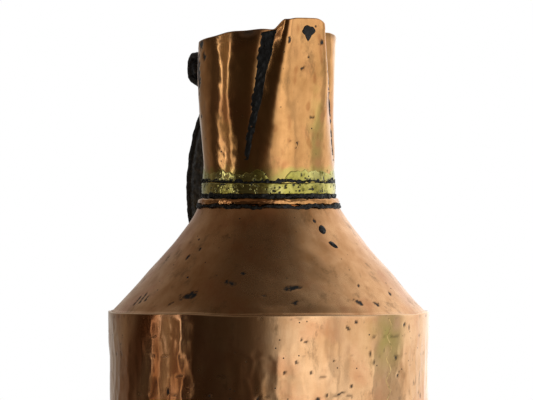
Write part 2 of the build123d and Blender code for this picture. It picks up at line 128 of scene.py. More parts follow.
def blows(angle, z, radius, row_pitch, columns, seed, curve, jitter):
    """Height in mm left by overlapping hammer blows set in rows; curve is their radius (round, up)."""
    rng = np.random.default_rng(seed)
    rows = int(np.max(z) / row_pitch) + 4
    shift = rng.uniform(-jitter, jitter, (rows, columns))
    lift = rng.uniform(-jitter, jitter, (rows, columns))
    force = rng.uniform(0, 0.06, (rows, columns))
    lean, nod = rng.normal(0, 0.020, (rows, columns)), rng.normal(0, 0.008, (rows, columns))
    common = rng.uniform(-0.3, 0.3, columns)
    pitch = TURN * radius / columns
    across, up = angle / TURN * columns, z / row_pitch
    best = np.full(np.broadcast(angle, z).shape, -9.0)
    for row_step in (-1, 0, 1):
        row = np.clip(np.floor(up).astype(int) + row_step + 1, 0, rows - 1)
        for step in (-1, 0, 1):
            whole = np.floor(across).astype(int) + step
            column = whole % columns
            ds = (across - whole - 0.5 - shift[row, column] - common[column]) * pitch
            dz = (up - (row - 1) - 0.5 - lift[row, column]) * row_pitch
            dent = force[row, column] + lean[row, column] * ds + nod[row, column] * dz
            best = np.maximum(best, dent - ds**2 / (2 * curve[0]) - dz**2 / (2 * curve[1]))
    return best


def spots(points, marks, seed):
    """Mask of ragged marks, each (plan angle, radius, height, half width, half height, tilt)."""
    mask = np.zeros(points.shape[:-1])
    edge = field(points, 3.2, seed) * 0.22 + field(points, 1.4, seed + 1) * 0.14
    for angle, radius, height, width, tall, tilt in marks:
        a, t = math.radians(angle), math.radians(tilt)
        out = np.array([math.sin(a), -math.cos(a), 0])
        side = np.array([math.cos(a), math.sin(a), 0])
        offset = points - (out * radius + np.array([0, 0, height]))
        s, u = offset @ side, offset[..., 2]
        s, u = s * math.cos(t) + u * math.sin(t), u * math.cos(t) - s * math.sin(t)
        distance = np.sqrt((s / width) ** 2 + (u / tall) ** 2 + (offset @ out / 9) ** 2) + edge
        mask = np.maximum(mask, np.clip((1.1 - distance) * 2.5, 0, 1))
    return mask


# ---- Mesh helpers ------------------------------------------------------------------------------------
def new_piece(name, points, faces, material, nodes, masks=None):
    """Smooth mesh from points in mm, riding on the root body in place of its CAD nodes."""
    mesh = bpy.data.meshes.new(name)
    mesh.from_pydata((points.reshape(-1, 3) * MM).tolist(), [], faces)
    mesh.polygons.foreach_set("use_smooth", [True] * len(mesh.polygons))
    for key, values in (masks or {}).items():
        layer = mesh.attributes.new(key, "FLOAT", "POINT")
        layer.data.foreach_set("value", np.asarray(values, np.float32).ravel())
    mesh.materials.append(material)
    piece = bpy.data.objects.new(name, mesh)
    scene.collection.objects.link(piece)
    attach(piece, "root")
    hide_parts(*nodes)


def quads(rows, cols, wrap_rows, wrap_cols=True):
    """Faces of a grid whose rows run up the outside and whose columns run anticlockwise from above."""
    r = np.arange(rows if wrap_rows else rows - 1)
    c = np.arange(cols if wrap_cols else cols - 1)
    i, j = np.meshgrid(r, c, indexing="ij")
    up, on = (i + 1) % rows, (j + 1) % cols
    corners = [i * cols + j, i * cols + on, up * cols + on, up * cols + j]
    return np.stack(corners, axis=-1).reshape(-1, 4).tolist()


def ring_piece(name, points, material, nodes, masks=None):
    """Closed ring of sheet: a grid that wraps both round the jug and round its own profile."""
    rows, cols = points.shape[:2]
    new_piece(name, points, quads(rows, cols, True), material, nodes, masks)


def strip_piece(name, points, material, nodes):
    """Closed strip: rows along it, columns round its section, with both ends capped."""
    rows, cols = points.shape[:2]
    faces = quads(rows, cols, False)
    faces += [list(range(cols))[::-1], [(rows - 1) * cols + j for j in range(cols)]]
    new_piece(name, points, faces, material, nodes)


def normals_of(grid):
    """Outward unit normals of a grid of points that wraps in its columns."""
    along = np.roll(grid, -1, axis=1) - np.roll(grid, 1, axis=1)
    up = np.gradient(grid, axis=0)
    normal = np.cross(along, up)
    return normal / np.maximum(np.linalg.norm(normal, axis=-1, keepdims=True), 1e-9)


# ---- Materials ---------------------------------------------------------------------------------------
def feed(links, value, socket):
    """Set a socket to a number or a colour, or link a node's output to it."""
    if isinstance(value, (int, float, tuple)):
        socket.default_value = value
    else:
        links.new(value, socket)


class Shade:
    """Small builder for a node material in object coordinates."""

    def __init__(self, name):
        self.material = bpy.data.materials.new(name)
        self.material.use_nodes = True
        self.nodes = self.material.node_tree.nodes
        self.links = self.material.node_tree.links
        self.shader = self.nodes["Principled BSDF"]
        self.place = self.nodes.new("ShaderNodeTexCoord").outputs["Object"]

    def put(self, value, socket):
        feed(self.links, value, socket)

    def math(self, kind, a, b=0.0, clamp=False):
        node = self.nodes.new("ShaderNodeMath")
        node.operation, node.use_clamp = kind, clamp
        self.put(a, node.inputs[0])
        self.put(b, node.inputs[1])
        return node.outputs[0]

    def noise(self, scale, detail=4.0, stretch=(1, 1, 1), rough=0.55):
        mapping = self.nodes.new("ShaderNodeMapping")
        mapping.inputs["Scale"].default_value = stretch
        self.put(self.place, mapping.inputs["Vector"])
        node = self.nodes.new("ShaderNodeTexNoise")
        node.inputs["Scale"].default_value = scale
        node.inputs["Detail"].default_value = detail
        node.inputs["Roughness"].default_value = rough
        self.put(mapping.outputs[0], node.inputs["Vector"])
        return node.outputs["Fac"]

    def ramp(self, value, low, high):
        """Eased step from 0 at low to 1 at high; falls instead when high is the smaller."""
        node = self.nodes.new("ShaderNodeMapRange")
        node.interpolation_type = "SMOOTHSTEP"
        self.put(value, node.inputs["Value"])
        node.inputs["From Min"].default_value, node.inputs["From Max"].default_value = low, high
        return node.outputs[0]

    def span(self, value, low, high):
        """Value from 0 to 1 spread between low and high."""
        node = self.nodes.new("ShaderNodeMapRange")
        self.put(value, node.inputs["Value"])
        node.inputs["To Min"].default_value, node.inputs["To Max"].default_value = low, high
        return node.outputs[0]

    def mix(self, share, a, b):
        node = self.nodes.new("ShaderNodeMix")
        node.data_type = "RGBA"
        self.put(share, node.inputs[0])
        self.put((*a, 1.0) if isinstance(a, tuple) else a, node.inputs[6])
        self.put((*b, 1.0) if isinstance(b, tuple) else b, node.inputs[7])
        return node.outputs[2]

    def attribute(self, name):
        node = self.nodes.new("ShaderNodeAttribute")
        node.attribute_name = name
        return node.outputs["Fac"]

    def pits(self, scale, size, share):
        """Scattered small round pits; share is how much of the surface may carry them."""
        node = self.nodes.new("ShaderNodeTexVoronoi")
        node.inputs["Scale"].default_value = scale
        self.put(self.place, node.inputs["Vector"])
        near = self.ramp(node.outputs["Distance"], size, size * 0.45)
        chosen = self.nodes.new("ShaderNodeSeparateColor")
        self.put(node.outputs["Color"], chosen.inputs[0])
        return self.math("MULTIPLY", near, self.math("LESS_THAN", chosen.outputs[0], share))

    def bump(self, height, strength, distance, below=None):
        """Normal bumped by height, on top of the normal below."""
        node = self.nodes.new("ShaderNodeBump")
        node.inputs["Strength"].default_value = strength
        node.inputs["Distance"].default_value = distance
        self.put(height, node.inputs["Height"])
        if below is not None:
            self.put(below, node.inputs["Normal"])
        return node.outputs[0]

    def finish(self, colour, rough, normal, metallic):
        for key, value in (("Base Color", colour), ("Roughness", rough), ("Normal", normal),
                           ("Metallic", metallic)):
            self.put(value, self.shader.inputs[key])
        return self.material


def copper(name, bright, dull, rough, patina, pit_share, masks=True):
    """Aged copper: cloudy patina, upright wiping streaks, small black pits, placed stains and tints, a
    painted highlight on the rim and painted reflection tones.
    """
    s = Shade(name)
    cloud = s.ramp(s.noise(20, 6), 0.36, 0.66)
    mottle = s.ramp(s.noise(95, 5), 0.35, 0.68)
    streak = s.ramp(s.noise(150, 3, (1, 1, 0.09)), 0.42, 0.66)
    age = s.math("ADD", s.math("MULTIPLY", cloud, 0.5), s.math("MULTIPLY", mottle, 0.3))
    age = s.math("MULTIPLY", s.math("ADD", age, s.math("MULTIPLY", streak, 0.2)), patina, True)
    colour = s.mix(age, bright, dull)
    warm = s.ramp(s.noise(38, 4), 0.48, 0.7)
    colour = s.mix(s.math("MULTIPLY", warm, 0.35), colour, (0.62, 0.22, 0.10))
    smudge = s.ramp(s.noise(70, 8, (1, 1, 0.5), 0.75), 0.52, 0.70)
    colour = s.mix(s.math("MULTIPLY", smudge, 0.6), colour, (0.22, 0.12, 0.05))
    pits = s.math("ADD", s.pits(170, 0.20, pit_share), s.pits(430, 0.3, pit_share), True)
    pits = s.math("MULTIPLY", pits, s.ramp(s.noise(26, 2), 0.46, 0.56))
    dirt_and_painted_reflection = pits
    if masks:
        colour = s.mix(s.attribute("tint"), colour, (0.56, 0.46, 0.13))
        # bright clean copper: burnished wear on the rim, partly a painted highlight of the edge catching the
        # light
        colour = s.mix(s.attribute("rub_and_painted_highlight"), colour, (0.95, 0.62, 0.36))
        # dark orange: tarnish, and on the body's left a painted tone for its glint and dark side
        colour = s.mix(s.attribute("tarnish_and_painted_glint"), colour, (0.34, 0.10, 0.028))
        # placed stains darken the copper, and on the neck's left they are a painted reflection of the handle
        dirt_and_painted_reflection = s.math("MAXIMUM", pits, s.attribute("stain_and_painted_reflection"))
    colour = s.mix(dirt_and_painted_reflection, colour, (0.007, 0.0055, 0.005))
    grime = s.math("ADD", dirt_and_painted_reflection, s.math("MULTIPLY", smudge, 0.35))
    roughness = s.math("ADD", s.span(age, rough[0], rough[1]), s.math("MULTIPLY", grime, 0.3))
    normal = s.bump(s.noise(900, 3), 0.05, 0.0002)
    normal = s.bump(s.math("MULTIPLY", dirt_and_painted_reflection, -1.0), 0.12, 0.0002, normal)
    normal = s.bump(s.noise(170, 3, (1, 1, 0.3)), 0.2, 0.0003, normal)
    return s.finish(colour, roughness, normal, s.math("SUBTRACT", 1.0, s.ramp(dirt_and_painted_reflection, 0.6, 1.0)))


def brass(name, bright=(0.78, 0.70, 0.26), dull=(0.50, 0.44, 0.10)):
    """Yellow-green brass with black pits."""
    s = Shade(name)
    cloud = s.ramp(s.noise(60, 5), 0.35, 0.65)
    colour = s.mix(cloud, bright, dull)
    colour = s.mix(s.ramp(s.noise(110, 6, (1, 1, 1), 0.7), 0.50, 0.66), colour, (0.20, 0.18, 0.04))
    dirt_and_painted_reflection = s.math("MAXIMUM", s.pits(420, 0.33, 0.3), s.attribute("stain_and_painted_reflection"))
    colour = s.mix(dirt_and_painted_reflection, colour, (0.02, 0.02, 0.018))
    roughness = s.math("ADD", s.span(cloud, 0.10, 0.22), s.math("MULTIPLY", dirt_and_painted_reflection, 0.3))
    normal = s.bump(s.noise(240, 3), 0.22, 0.0003)
    return s.finish(colour, roughness, s.bump(s.math("MULTIPLY", dirt_and_painted_reflection, -1.0), 0.6, 0.0004, normal),
                    s.span(dirt_and_painted_reflection, 1.0, 0.3))


def solder(name):
    """Dark lead solder and burnt flux, lumpy with small glints."""
    s = Shade(name)
    grain = s.ramp(s.noise(420, 5), 0.4, 0.7)
    colour = s.mix(grain, (0.003, 0.003, 0.003), (0.030, 0.028, 0.027))
    normal = s.bump(s.noise(700, 4), 0.5, 0.0006)
    return s.finish(colour, s.span(grain, 0.55, 0.25), normal, s.span(grain, 0.15, 0.75))


def dark_iron(name, base=(0.030, 0.029, 0.028)):
    """Forged metal under old black scale, rubbed brown and olive in patches."""
    s = Shade(name)
    patch = s.ramp(s.noise(45, 5), 0.5, 0.68)
    grain = s.ramp(s.noise(330, 5), 0.38, 0.7)
    colour = s.mix(patch, base, (0.075, 0.058, 0.026))
    colour = s.mix(s.math("MULTIPLY", grain, 0.35), colour, (0.09, 0.085, 0.08))
    normal = s.bump(s.noise(240, 5), 0.55, 0.0009)
    return s.finish(colour, s.span(grain, 0.62, 0.38), normal, 0.55)


BODY_COPPER = copper("body_copper", (0.90, 0.55, 0.30), (0.60, 0.30, 0.12), (0.10, 0.24), 0.85, 0.05)
NECK_COPPER = copper("neck_copper", (0.86, 0.45, 0.18), (0.50, 0.24, 0.08), (0.08, 0.20), 0.9, 0.06)
SHOULDER_COPPER = copper("shoulder_copper", (0.88, 0.50, 0.25), (0.58, 0.27, 0.10), (0.24, 0.36), 1.0, 0.04)
PLAIN_COPPER = copper("plain_copper", (0.74, 0.38, 0.18), (0.40, 0.20, 0.09), (0.25, 0.45), 1.0, 0.1, False)
BRASS = brass("old_brass")
SEAM = brass("braze_in_copper", (0.80, 0.55, 0.24), (0.55, 0.34, 0.12))
SOLDER = solder("black_solder")
IRON = dark_iron("black_scale")
RIVET = dark_iron("rivet_metal", (0.05, 0.036, 0.028))


# ---- Body --------------------------------------------------------------------------------------------
BODY_MARKS = [  # pits and scrapes: plan angle, radius, height, half width, half height, tilt
    (2.0, 104, 171, 1.1, 1.3, 0), (26.0, 104, 169, 1.0, 1.6, 0), (-1.3, 104, 167, 1.3, 1.5, 20),
    (-18.7, 104, 160, 0.9, 1.2, 0), (-17.0, 104, 158.5, 0.8, 0.8, 0), (-6.4, 104, 146, 1.2, 0.9, 0),
    (-20.3, 104, 146, 1.0, 2.0, 12), (-33.8, 104, 122.5, 1.3, 2.0, -20), (-12.5, 104, 122, 1.6, 1.2, 10),
    (-9.0, 104, 124.5, 1.3, 1.6, -30), (-3.6, 104, 125.5, 3.4, 0.9, 15), (0.6, 104, 130, 0.8, 1.0, 0),
    (-68.0, 104, 126, 1.0, 2.4, 15), (-51.0, 104, 124, 1.5, 1.1, 0), (21.5, 104, 147, 1.0, 1.2, 0),
    (22.5, 104, 136, 1.1, 1.2, 0), (-24.5, 104, 139, 0.8, 1.6, 0), (-15.0, 104, 139, 1.0, 0.7, 0),
]
ROW = 12.4  # height of a row of hammer blows
STRAIGHT, EASED = 13, 31  # from each end: where the straight stretch stops, and where the waist begins
FOOT_INSET, WAIST_INSET = 0.7, 1.0
CLEARANCE = 0.06  # kept between the beaten wall and the CAD's widest radius
LINED_ABOVE = 160  # the shoulder's skirt lines the wall from here up, so it is beaten less deeply
LINED_DEPTH, BARE_DEPTH = 1.0, 2.1  # deepest the wall is beaten, with and without the skirt behind it


def body_radius(z):
    """Outside of the body before it is beaten."""
    heights = [0, STRAIGHT, EASED, BODY_TOP - EASED, BODY_TOP - STRAIGHT, BODY_TOP]
    radii = [-FOOT_INSET, -FOOT_INSET, -WAIST_INSET, -WAIST_INSET, 0, 0]
    return BODY_RADIUS + np.interp(z, heights, radii)


def make_body():
    angle = ring_angles(BODY_COLUMNS)
    z = np.concatenate([[0.0, 0.3, 0.8], np.arange(1.8, BODY_TOP - 1.4, 1.12), [BODY_TOP - 0.9]])[:, None]
    wave = rim_wave(angle)
    radius = body_radius(z) + 0 * angle
    beaten = smooth((z - 3) / 8) * smooth((BODY_TOP - 1.5 - z) / 6)
    raw = placed(angle, radius, z + 0 * angle)
    beat = blows(angle, z, BODY_RADIUS, ROW, 80, 5, (60.0, 170.0), 0.24)
    beat = beat - beat.max()
    broad = field(raw, 62, 21, (1, 1, 2.6)) * 0.26 + field(raw, 24, 22, (1, 1, 3.0)) * 0.09
    streaks = field(raw, 8, 23, (1, 1, 3.0)) * 0.034 + field(raw, 4, 24, (1, 1, 2.4)) * 0.014
    groove = np.exp(-(((z / ROW + 0.5) % 1 - 0.5) * ROW) ** 2) * smooth(field(raw, 9, 25) * 0.5 + 0.45)
    radius = radius - beaten * ((beat + 0.30) * 0.9 + 0.15 * groove - streaks - broad - 0.12)
    radius = np.minimum(radius, BODY_RADIUS - CLEARANCE)
    deepest = np.where(z > LINED_ABOVE, BODY_RADIUS - LINED_DEPTH, BODY_RADIUS - BARE_DEPTH)
    radius = np.maximum(radius, deepest)
    stain_and_painted_reflection = spots(raw, BODY_MARKS, 31)
    dashes = 0.6 * groove * smooth(field(raw, 6, 35, (1, 1, 1)) * 0.8 - 0.25)
    scars = np.clip(field(raw, 3.4, 33, (1, 1, 2.6)) - 1.8, 0, 1) * smooth(field(raw, 24, 34) * 0.7 + 0.35)
    scarred = angle * 180 / math.pi < 60
    stain_and_painted_reflection = np.maximum(stain_and_painted_reflection, scars * smooth(scarred + 0.25))
    stain_and_painted_reflection = np.maximum(stain_and_painted_reflection, dashes)
    side = (np.degrees(angle) - 17) / 7
    tint = np.exp(-(side**2) - ((z - 160) / 17) ** 2)
    tint = tint * smooth(field(raw, 9, 41, (1, 1, 2)) * 0.3 + 0.7) * 0.85
    # the top of the wall is painted brighter: partly burnished wear, partly a painted highlight where the
    # edge catches the light
    rub_and_painted_highlight = 0.7 * np.exp(-(((BODY_TOP - z) / 1.3) ** 2)) * smooth(field(raw, 30, 43) * 0.5 + 0.6)
    radius = radius - stain_and_painted_reflection * 0.25
    outer = placed(angle, radius, z + wave * smooth((z - BODY_TOP + 14) / 14))
    top = BODY_TOP + wave
    edge = radius[-1:]
    rolled = [placed(angle, edge - back, top - drop) for back, drop in
              ((0.12, 0.45), (0.45, 0.1), (0.9, 0.08), (1.2, 0.4), (1.3, 1.0))]
    inner_z = np.concatenate([np.arange(BODY_TOP - 8, 4, -9.0), [0.6, 0.0]])[:, None]
    inner = placed(angle, body_radius(inner_z) - SHEET - 0.6 + 0 * angle, inner_z + 0 * angle)
    grid = np.concatenate([outer, *rolled, inner])
    # dark orange at -74 degrees is painted: it darkens and reddens the reflections on the body's left; the
    # weaker patch at 140 degrees is tarnish
    tarnish_and_painted_glint = 0.9 * np.exp(-((degrees_from(-74, angle) / 25) ** 2))
    tarnish_and_painted_glint = tarnish_and_painted_glint * smooth(field(raw, 16, 45, (1, 1, 2.5)) * 0.25 + 0.65)
    tarnish_and_painted_glint = np.maximum(tarnish_and_painted_glint, 0.5 * np.exp(-((degrees_from(140, angle) / 45) ** 2)))
    clean = np.zeros((len(grid) - len(outer), BODY_COLUMNS))
    masks = {"stain_and_painted_reflection": np.concatenate([stain_and_painted_reflection, clean]), "tint": np.concatenate([tint, clean]),
             "tarnish_and_painted_glint": np.concatenate([tarnish_and_painted_glint, clean])}
    # the rolled top edge is painted brighter as well: a painted highlight
    polished_painted_highlight = np.full((len(rolled), BODY_COLUMNS), 0.6)
    masks["rub_and_painted_highlight"] = np.concatenate([rub_and_painted_highlight + 0 * angle, polished_painted_highlight, np.zeros((len(inner), BODY_COLUMNS))])
    ring_piece("body", grid, BODY_COPPER, ["body_wall"], masks)
    return outer


# ---- Shoulder ----------------------------------------------------------------------------------------
SHOULDER_MARKS = [  # as for the body
    (-20.0, 86, 192.5, 4.6, 1.1, 8), (-47.0, 84, 195.6, 3.2, 1.0, -6), (-42.0, 79, 201.8, 1.4, 0.7, 0),
    (-64.0, 92, 187.6, 4.2, 1.4, 16), (-93.0, 95, 184.2, 0.8, 2.6, 8), (-90.0, 95, 184.4, 0.8, 2.4, 8),
    (-87.0, 95, 184.8, 0.7, 2.0, 8), (-78.0, 74, 212, 0.9, 1.6, 0), (-73.0, 70, 217, 1.0, 0.8, 0),
    (-99.0, 75, 211, 1.2, 0.8, 20), (-71.0, 98, 182, 1.2, 0.7, 0), (7.0, 98, 183, 2.6, 0.9, -25),
    (16.0, 99, 181.5, 1.6, 0.8, -20), (29.0, 93, 188, 1.3, 0.8, 0), (-20.0, 97, 183.5, 2.0, 0.9, 30),
    (5.0, 53, 235, 1.0, 0.8, 0), (12.0, 87, 193.5, 0.9, 0.6, 0), (-32.0, 92, 188, 1.0, 0.7, 0),
]


def cone_profile():
    """Radius of the shoulder's outside by height, read off the CAD node's own mesh."""
    points = np.array([v.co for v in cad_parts["shoulder_cone"].data.vertices]) / MM
    radius, z = np.hypot(points[:, 0], points[:, 1]), points[:, 2]
    order = np.argsort(z)
    z, radius = z[order], radius[order]
    steps = np.unique(np.round(z, 1))
    outside = np.array([radius[np.abs(z - h) < 0.6].max() for h in steps])
    cone = (steps > BODY_TOP + 0.9) & (steps < RING_LOW - 1.5)
    return steps[cone], outside[cone]


def make_shoulder():
    heights, radii = cone_profile()
    fit = np.polyfit(heights, radii, 4)
    angle = ring_angles(SHOULDER_COLUMNS)
    edge = np.linspace(BODY_TOP + 0.55, BODY_TOP + 3, 4)
    z = np.concatenate([edge, np.arange(BODY_TOP + 4, RING_LOW - 1.6, 0.72)])[:, None]
    radius = np.polyval(fit, z) + 0 * angle
    raw = placed(angle, radius, z + 0 * angle)
    worn = smooth((z - BODY_TOP) / 6) * smooth((RING_LOW - z) / 6)
    beat = blows(angle, z * 1.5, 75, 15, 44, 15, (120.0, 260.0), 0.4)
    broad = field(raw, 45, 51) * 0.22 + field(raw, 17, 52) * 0.06
    marks = [(*m[:3], 1.25 * m[3], 1.6 * m[4], m[5]) for m in SHOULDER_MARKS]
    stain_and_painted_reflection = spots(raw, marks, 61)
    swell = np.exp(-((degrees_from(60, angle) / 48) ** 2))
    swell = swell * smooth((z - 184) / 22) * smooth((242 - z) / 18)
    radius = radius + worn * (broad - 0.10 - (beat + 0.4) * 0.25 + 1.1 * swell) - stain_and_painted_reflection * 0.1
    wave = rim_wave(angle)
    sink = smooth((BODY_TOP + 5 - z) / 5)
    outer = placed(angle, np.minimum(radius, BODY_RADIUS - 0.35), z + wave * sink)
    collar_outside, collar_inside, collar_top = NECK_RADIUS - 1.5, NECK_RADIUS - 2.7, NECK_FOOT + 8.5

    def circles(*rings):
        """Plain rows of the sheet, one for each radius and height."""
        return [placed(angle, 0 * angle + r, 0 * angle + h) for r, h in rings]

    low = circles((BODY_RADIUS - 1.6, 166.0), (BODY_RADIUS - 1.6, 172.0),
                  (BODY_RADIUS - 1.0, BODY_TOP - 0.4 + wave))
    up = circles((44.5, RING_LOW + 1.5), (collar_outside, NECK_FOOT), (collar_outside, collar_top),
                 (collar_inside, collar_top), (collar_inside, NECK_FOOT - 1), (44.0, RING_LOW - 2.4))
    inner_z = np.arange(RING_LOW - 4, BODY_TOP + 2, -5.0)[:, None]
    inner = placed(angle, np.polyval(fit, inner_z) - SHEET * 1.6 + 0 * angle, inner_z + 0 * angle)
    down = circles((BODY_RADIUS - 2.8, 175.0), (BODY_RADIUS - 2.8, 166.0))
    grid = np.concatenate([*low, outer, *up, inner, *down])
    before, after = len(low), len(grid) - len(low) - len(outer)
    stain_and_painted_reflection = np.concatenate([np.zeros((before, SHOULDER_COLUMNS)), stain_and_painted_reflection, np.zeros((after, SHOULDER_COLUMNS))])
    zero = np.zeros_like(stain_and_painted_reflection)
    ring_piece("shoulder", grid, SHOULDER_COPPER, ["shoulder_cone"],
               {"stain_and_painted_reflection": stain_and_painted_reflection, "tint": zero, "rub_and_painted_highlight": zero})
    return outer


# ---- Neck and spout ----------------------------------------------------------------------------------
FOLD_START = 272.0  # the neck is round below this level and folded above it
MOUTH_RADIUS = 44.8
RIM_HEIGHT, RIM_RISE, RIM_LEAN = 353.1, 0.14, 0.0367  # rim plane at the axis, its slopes to spout and side
LIP_HEIGHT = 366.7
ARC_COLUMNS = (190, 12, 26, 52, 26, 12)  # points on each arc of the outline: back, side, wall, front, ...
UNCUT_TOP = 376.0  # outlines are made up to here, then cut at the rim
LEVELS = np.linspace(NECK_FOOT, UNCUT_TOP, 72)
NECK_MARKS = [  # as for the body; the marks at -109, -103 and -96 degrees are no pits but a painted reflection of the dark handle on the neck's left side
    (-5.0, 50, 285.5, 1.5, 1.5, 0), (9.0, 50, 302.3, 1.6, 1.2, 0), (-6.0, 50, 282.5, 0.9, 0.8, 0),
    (-11.0, 49, 286.5, 0.9, 0.7, 0), (-3.0, 50, 334.0, 1.4, 0.9, 20), (2.0, 50, 341, 0.8, 1.2, 0),
    # the next three marks paint the dark handle's reflection down the neck's left side
    (-109.0, 44, 332.0, 3.4, 13.0, 4), (-103.0, 44, 350.0, 4.2, 3.2, 0), (-96, 44, 342, 2.0, 3, 0),
    (-105.0, 44, 303, 1.2, 1.8, 0),
    (13.0, 50, 350.5, 2.2, 1.6, 40), (-14.5, 49, 352, 1.0, 2.2, 0),
]


def neck_corners(z):
    """Corners and edge middles of the neck's outline at a height, anticlockwise from above."""
    climb = min(max((z - FOLD_START) / (RIM_HEIGHT + 8 - FOLD_START), 0), 1.15)
    fold = min(1.0, 1.35 * climb**0.55) if climb > 0 else 0.0
    radius = NECK_RADIUS + (MOUTH_RADIUS - NECK_RADIUS) * (1 - (1 - min(climb, 1)) ** 2)
    valley_at, ridge_at = 51 - 24 * climb, 32 - 15.7 * climb
    blend_at = valley_at + 12 - 3 * climb
    valley, ridge = radius - 1.9 * fold, radius + 8.0 * climb * fold
    front = radius + 6.6 * climb * fold
    wall = (1 - fold) * radius + fold * (valley + ridge) / 2
    side = (1 - fold) * radius + fold * (radius + valley) / 2 + 0.25 * fold
    corners = [(radius, blend_at), (radius, -blend_at), (valley, -valley_at), (ridge, -ridge_at),
               (ridge, ridge_at), (valley, valley_at)]
    wall_at, side_at = (valley_at + ridge_at) / 2, (blend_at + valley_at) / 2
    middles = [(radius, 180), (side, -side_at), (wall, -wall_at), (front, 0), (wall, wall_at),
               (side, side_at)]
    return [[around(math.radians(a)) * r for r, a in group] for group in (corners, middles)]


def arc(a, m, b, count):
    """Points from a towards b on the circle through a, m and b, without b."""
    ax, bx = a - m, b - m
    cross = ax[0] * bx[1] - ax[1] * bx[0]
    if abs(cross) < 1e-6:
        return a + (b - a) * (np.arange(count) / count)[:, None]
    aa, bb = ax @ ax, bx @ bx
    centre = m + np.array([aa * bx[1] - bb * ax[1], bb * ax[0] - aa * bx[0]]) / (2 * cross)
    start, middle, end = (math.atan2(*(p - centre)[::-1]) for p in (a, m, b))
    sweep = (end - start) % TURN
    if (middle - start) % TURN > sweep:
        sweep -= TURN
    turn = start + sweep * np.arange(count) / count
    return centre + np.hypot(*(a - centre)) * np.stack([np.cos(turn), np.sin(turn)], axis=-1)


def neck_outline(z):
    """Outline at a height with its ridges rounded widely and its valleys tightly."""
    corners, middles = neck_corners(z)
    parts = [arc(corners[i], middles[i], corners[(i + 1) % 6], ARC_COLUMNS[i]) for i in range(6)]
    line = np.concatenate(parts)
    step = np.linalg.norm(np.roll(line, -1, axis=0) - line, axis=1)
    place = np.concatenate([[0], np.cumsum(step)[:-1]])
    total = step.sum()
    starts = np.cumsum((0,) + ARC_COLUMNS)
    width = np.full(len(line), 0.8)
    for corner in (starts[3], starts[4]):
        away = np.abs(place - place[corner])
        width += 1.3 * np.exp(-((np.minimum(away, total - away) / 5) ** 2))
    away = np.abs(place[:, None] - place[None, :])
    away = np.minimum(away, total - away)
    weight = np.exp(-0.5 * (away / width[:, None]) ** 2) * ((step + np.roll(step, 1)) / 2)[None, :]
    return weight @ line / weight.sum(axis=1, keepdims=True)


def neck_grid(table, z):
    """Points of the neck's outside for heights z given per row and column."""
    place = np.clip((z - LEVELS[0]) / (LEVELS[1] - LEVELS[0]), 0, len(LEVELS) - 1.001)
    low = place.astype(int)
    share = (place - low)[..., None]
    column = np.arange(z.shape[1])[None, :]
    flat = table[low, column] * (1 - share) + table[low + 1, column] * share
    return np.concatenate([flat, z[..., None]], axis=-1)


def rim_level(x, y):
    """Height of the rim: a plane that climbs to the spout, then the lip with its worn right corner."""
    plain = RIM_HEIGHT - RIM_RISE * y - RIM_LEAN * x
    lip = LIP_HEIGHT - 3.0 * smooth((x - 5) / 11) ** 1.5 - 0.5 * smooth((-8 - x) / 6)
    return plain + (lip - plain) * smooth((-y - 39.4) / 9.0)


